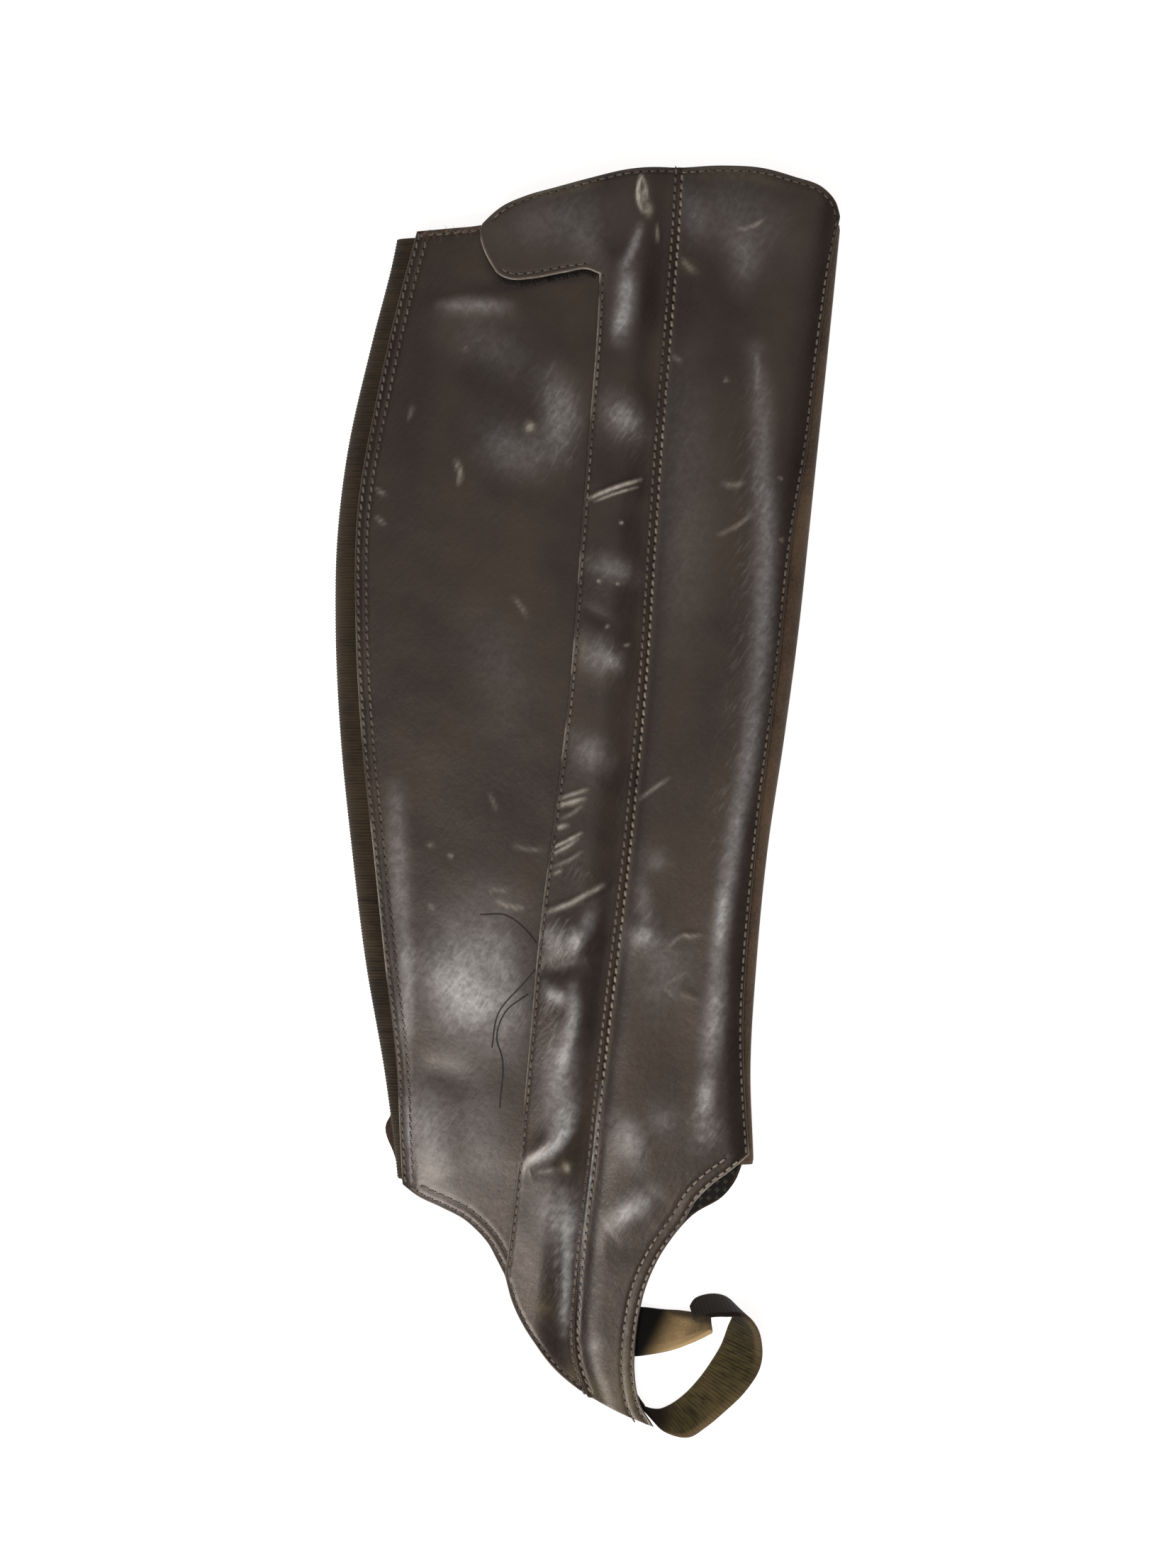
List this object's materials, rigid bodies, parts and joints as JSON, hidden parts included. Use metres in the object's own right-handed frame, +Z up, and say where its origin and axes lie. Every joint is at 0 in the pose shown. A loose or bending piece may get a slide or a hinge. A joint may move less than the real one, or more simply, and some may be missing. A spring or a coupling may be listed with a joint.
{
  "type": "half chap",
  "caption": "Leather half chap for riding, laid flat on its inner side, with a covered side zip, top tab, elastic gusset, suede inner panel and stirrup strap.",
  "frame": {"origin": "bottom centre of the bounding box, on the surface that the half chap lies on", "axes": "+Y up the leg from the stirrup strap to the top line, +X across it from the elastic gusset to the suede, +Z up off the surface"},
  "size_m": [0.1818, 0.4569, 0.0181],
  "materials": {
    "leather": "semi-gloss",
    "cover_leather": "semi-gloss",
    "zip_tape": "matte",
    "zip_teeth": "satin",
    "hook_and_loop": "matte",
    "elastic": "matte",
    "suede": "napped",
    "mesh_lining": "matte",
    "tan_suede": "napped",
    "webbing": "matte"
  },
  "bodies": {
    "root": {"back_panel": "leather", "front_panel": "leather", "front_panel_foot": "leather", "zip_cover": "cover_leather", "zip_tape": "zip_tape", "zip_chain": "zip_teeth", "tab_fastener": "hook_and_loop", "gusset": "elastic", "inner_panel": "suede", "lining": "mesh_lining", "strap_tongue": "tan_suede", "stirrup_strap": "webbing"}
  },
  "joints": []
}
